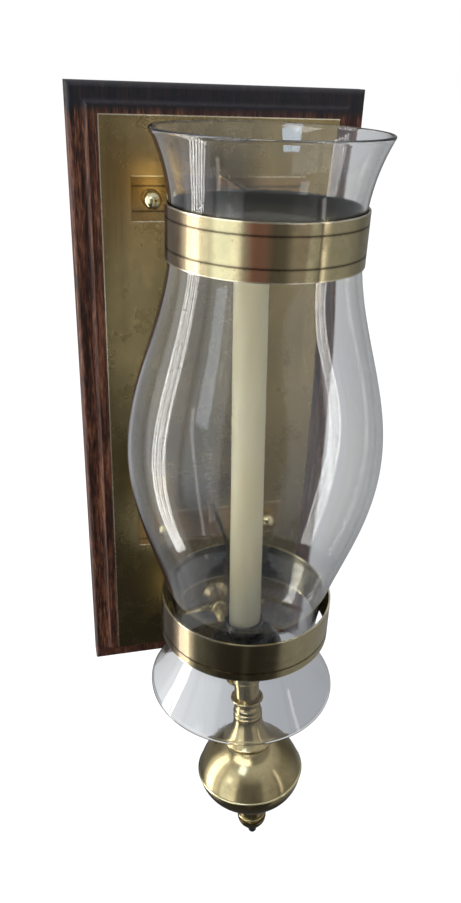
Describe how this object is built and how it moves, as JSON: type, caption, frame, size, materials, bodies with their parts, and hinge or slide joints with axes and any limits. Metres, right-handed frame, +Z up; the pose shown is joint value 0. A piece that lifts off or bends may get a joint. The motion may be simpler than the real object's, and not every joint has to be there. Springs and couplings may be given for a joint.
{
  "type": "wall sconce candle holder",
  "caption": "Wall sconce with a moulded wood backboard, brass facing plate, straps holding a glass hurricane shade, and a turned brass stem with a taper candle.",
  "frame": {"origin": "point at the top of the keyhole's slot, on the back face of the board, where the wall screw's shank bears", "axes": "+Z up, +X to the right as a person faces the wall, -Y out from the wall; the wall is the plane Y = 0"},
  "size_m": [0.198, 0.2106, 0.5401],
  "materials": {
    "mahogany": "dark polished mahogany with fine straight grain",
    "aged_brass_sheet": "sheet brass darkened to olive brown, worn bright at its edges",
    "brushed_brass": "brass strip with fine lengthwise brushing and copper coloured tarnish",
    "polished_brass": "polished brass with light tarnish",
    "turned_brass": "lathe turned brass with faint rings and brown tarnish in the hollows",
    "clear_glass": "clear blown glass with slight waviness and a few dust marks",
    "ivory_wax": "ivory candle wax, softly translucent",
    "cotton_wick": "waxed cotton wick",
    "blackened_metal": "blackened metal, satin",
    "plain_steel": "plain zinc grey steel"
  },
  "bodies": {
    "sconce": {"backboard": "mahogany", "brass_plate": "aged_brass_sheet", "upper_strap": "brushed_brass", "lower_strap": "brushed_brass", "upper_strap_screws": "polished_brass", "lower_strap_screws": "polished_brass", "candle_socket": "blackened_metal", "socket_skirt": "blackened_metal", "stem_collar": "turned_brass", "stem_barrel": "turned_brass", "stem_neck": "turned_brass", "stem_bell": "turned_brass", "ball_upper_half": "turned_brass", "ball_lower_half": "turned_brass", "ball_seam_bead": "polished_brass", "finial_knob": "turned_brass", "tie_rod": "plain_steel", "tie_rod_top_nut": "plain_steel", "tip_nut": "blackened_metal", "arm": "turned_brass", "arm_rosette": "turned_brass", "arm_washer": "plain_steel", "arm_nut": "plain_steel", "hanger_plate": "plain_steel", "hanger_screws": "plain_steel"},
    "shade": {"glass_shade": "clear_glass"},
    "candle_body": {"candle": "ivory_wax", "wick": "cotton_wick"}
  },
  "joints": [
    {"name": "shade_turn", "type": "hinge", "parent": "sconce", "child": "shade", "pos_m": [0, -0.1312, -0.156], "axis": [0, 0, 1], "continuous": true},
    {"name": "candle_lift", "type": "slide", "parent": "sconce", "child": "candle_body", "axis": [-0.007, 0.0872, 0.9962], "range_m": [0, 0.345]}
  ]
}
